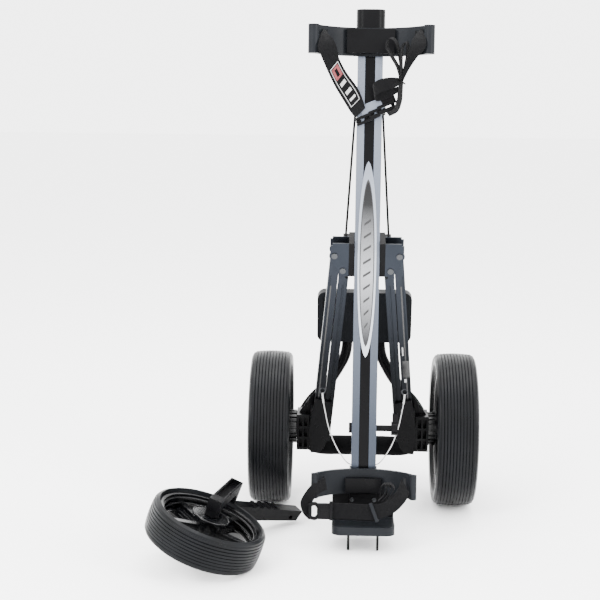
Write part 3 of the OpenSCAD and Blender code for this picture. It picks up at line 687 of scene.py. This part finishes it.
def make_wires():
    for side, name in ((-1, "left"), (1, "right")):
        line = [wire_at(side, p) for p in WIRE_POINTS]
        wire = tube("stay_wire_" + name, line, WIRE_RADIUS * MM, "wire", None, 60, 12)
        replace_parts(wire, "wire_" + name)
        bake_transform(wire)
        sleeve = tube("wire_sleeve_" + name, [spline(line, t) for t in (0.0, 0.04, 0.08, 0.12)], 1.7 * MM,
                      "wire", "outer_leg_" + name, 16, 14)
        eye = line[0] + Vector((0, 0.001, 0.005))
        loop = [eye + 5 * MM * Vector((math.cos(a), 0, math.sin(a))) for a in
                [2 * math.pi * k / 16 - math.pi / 2 for k in range(17)]]
        tube("wire_eye_" + name, loop, 1.3 * MM, "pin_steel", "outer_leg_" + name, 48, 10)


# ---- small marks: the console's embossed keys ----
def make_console_marks():
    lo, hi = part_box("console")
    for i, side in enumerate((-1, 1)):
        for k in range(3):
            centre = Vector(((lo.x + hi.x) / 2 + side * 0.067, lo.y + 0.0125 - k * 0.0017,
                             hi.z - 0.045 - k * 0.016))
            key = slab("console_key_%d_%d" % (i, k), centre, ACROSS, Vector((0, -0.17, 1)),
                       (0.012, 0.008, 0.003), "grey_plastic", "handle")


# ---- legs: rolled line down each bar and the rating chips on the right one ----
def leg_strip(name, side, across, width, t0, t1, material, lift=11.15):
    """A thin strip on the front face of an outer bar, from share t0 to t1 of its length."""
    top = Vector(JOINTS["leg_%s_swing" % side]["pos_m"])
    foot = Vector(JOINTS["carrier_%s_level" % side]["pos_m"])
    face = Vector((0, -math.cos(math.radians(20)), -math.sin(math.radians(20))))
    along = foot - top
    along -= face * along.dot(face)
    sideways = along.cross(face).normalized()
    centre = top + along * (t0 + t1) / 2 + face * lift * MM + sideways * across * MM
    return slab(name, centre, sideways, along, (width * MM, along.length * (t1 - t0), 0.0005), material,
                "outer_leg_" + side, bevel=0.0001)


def make_leg_details():
    for side in ("left", "right"):
        leg_strip("bar_line_" + side, side, 0.5, 2.6, 0.17, 0.93, "print_black")
    leg_strip("bar_chip", "right", 4.5, 2.4, 0.52, 0.57, "print_white")
    leg_strip("bar_label", "right", 0.0, 13.0, 0.60, 0.70, "print_black", 11.5)
    leg_strip("bar_chip_low", "right", 2.5, 4.0, 0.71, 0.73, "print_white", 11.5)


# ---- wheels: pressed rings in each rim, a collar on the front hub ----
def ring(name, centre, axis, radius, thickness, material, body):
    axis = axis.normalized()
    u = axis.orthogonal().normalized()
    v = axis.cross(u)
    steps, sides = 96, 12
    verts, faces = [], []
    for i in range(steps):
        a = 2 * math.pi * i / steps
        out = math.cos(a) * u + math.sin(a) * v
        for k in range(sides):
            b = 2 * math.pi * k / sides
            verts.append(centre + out * (radius + thickness * math.cos(b)) + axis * thickness * math.sin(b))
    for i in range(steps):
        for k in range(sides):
            a, b = i * sides + k, i * sides + (k + 1) % sides
            c, d = ((i + 1) % steps) * sides + k, ((i + 1) % steps) * sides + (k + 1) % sides
            faces.append((a, c, d, b))
    return add_mesh(name, verts, faces, material, body)


def make_wheel_details():
    hub = JOINTS["front_wheel_spin"]
    centre, axis = Vector(hub["pos_m"]), Vector(hub["axis"]).normalized()
    for i, (radius, height) in enumerate(((0.0785, 0.017), (0.0765, 0.008), (0.0785, -0.004))):
        ring("front_rim_ring_%d" % i, centre + axis * height, axis, radius, 0.0024, "rim_plastic",
                     "front_wheel")
    ring("front_hub_lip", centre + axis * 0.028, axis, 0.0305, 0.0012, "rim_plastic",
                 "front_wheel")
    for side, way in (("left", 1), ("right", -1)):
        spin = JOINTS["wheel_%s_spin" % side]
        middle, inward = Vector(spin["pos_m"]), Vector((way, 0, 0))
        lo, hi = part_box("tyre_" + side)
        half = (hi.x - lo.x) / 2
        wheel_middle = Vector(((lo.x + hi.x) / 2, middle.y, middle.z))
        for i, (radius, height) in enumerate(((0.1115, half - 0.011), (0.109, half - 0.022),
                                              (0.1115, half - 0.034))):
            ring("rim_ring_%s_%d" % (side, i), wheel_middle + inward * height, inward, radius,
                         0.0026, "rim_plastic", "wheel_" + side)
        ring("axle_washer_" + side, wheel_middle + inward * (half + 0.0125), inward, 0.0085, 0.0022,
                     "bright_steel", "carrier_" + side)


# ---- screws on the foot of the spine ----
def screw(name, centre, face, radius, body):
    u = face.orthogonal().normalized()
    v = face.cross(u)
    verts, faces, steps = [], [], 24
    profile = [(1.0, 0.0), (1.0, 0.35), (0.85, 0.62), (0.5, 0.8), (0.0001, 0.85)]
    for share, height in profile:
        for k in range(steps):
            a = 2 * math.pi * k / steps
            out = math.cos(a) * u + math.sin(a) * v
            verts.append(centre + out * radius * share + face * radius * height)
    for i in range(len(profile) - 1):
        for k in range(steps):
            a, b = i * steps + k, i * steps + (k + 1) % steps
            faces.append((a, b, b + steps, a + steps))
    faces.append(tuple(reversed(range(steps))))
    return add_mesh(name, verts, faces, "bright_steel", body)


def make_screws():
    forward = -BACK
    places = ((-21, -14.2, 101), (16, -14.2, 99), (17, -14.2, 90))
    for i, (x, n, s) in enumerate(places):
        screw("saddle_screw_%d" % i, at(x, n, s), forward, 0.0026, "frame")


# ---- light, floor and backdrop ----
def area_light(name, place, aim, size, power):
    data = bpy.data.lights.new(name, "AREA")
    data.shape = "RECTANGLE"
    data.size, data.size_y = size
    data.energy = power
    light = bpy.data.objects.new(name, data)
    bpy.context.scene.collection.objects.link(light)
    light.location = place
    light.rotation_euler = (Vector(aim) - Vector(place)).to_track_quat("-Z", "Y").to_euler()


def make_studio():
    world = bpy.data.worlds.new("studio")
    bpy.context.scene.world = world
    world.use_nodes = True
    background = world.node_tree.nodes["Background"]
    background.inputs["Color"].default_value = (1, 1, 1, 1)
    background.inputs["Strength"].default_value = WORLD_STRENGTH
    area_light("key", (-1.6, -1.8, 2.2), (0, 0, 0.4), (1.2, 1.6), KEY_POWER)
    area_light("fill", (1.9, -1.4, 1.6), (0, 0, 0.4), (0.9, 1.8), FILL_POWER)
    area_light("top", (0, 0.2, 2.8), (0, 0, 0.3), (2.0, 2.0), TOP_POWER)
    size = FLOOR_HALF
    floor = bpy.data.meshes.new("floor")
    corners = [(-size, -size, 0), (size, -size, 0), (size, size, 0), (-size, size, 0)]
    floor.from_pydata(corners, [], [(0, 1, 2, 3)])
    ground = bpy.data.objects.new("floor", floor)
    bpy.context.scene.collection.objects.link(ground)
    m = Shader("floor", (0.93, 0.93, 0.93), 0.7, specular=0.2)
    m.vary("Roughness", m.noise(0.5, 3.0), 0.6, 0.8)
    floor.materials.append(m.mat)


make_wires()
make_badge()
make_upper_strap()
make_upper_buckle()
make_lower_strap()
make_handle()
make_console_marks()
make_leg_details()
make_wheel_details()
make_screws()
make_studio()
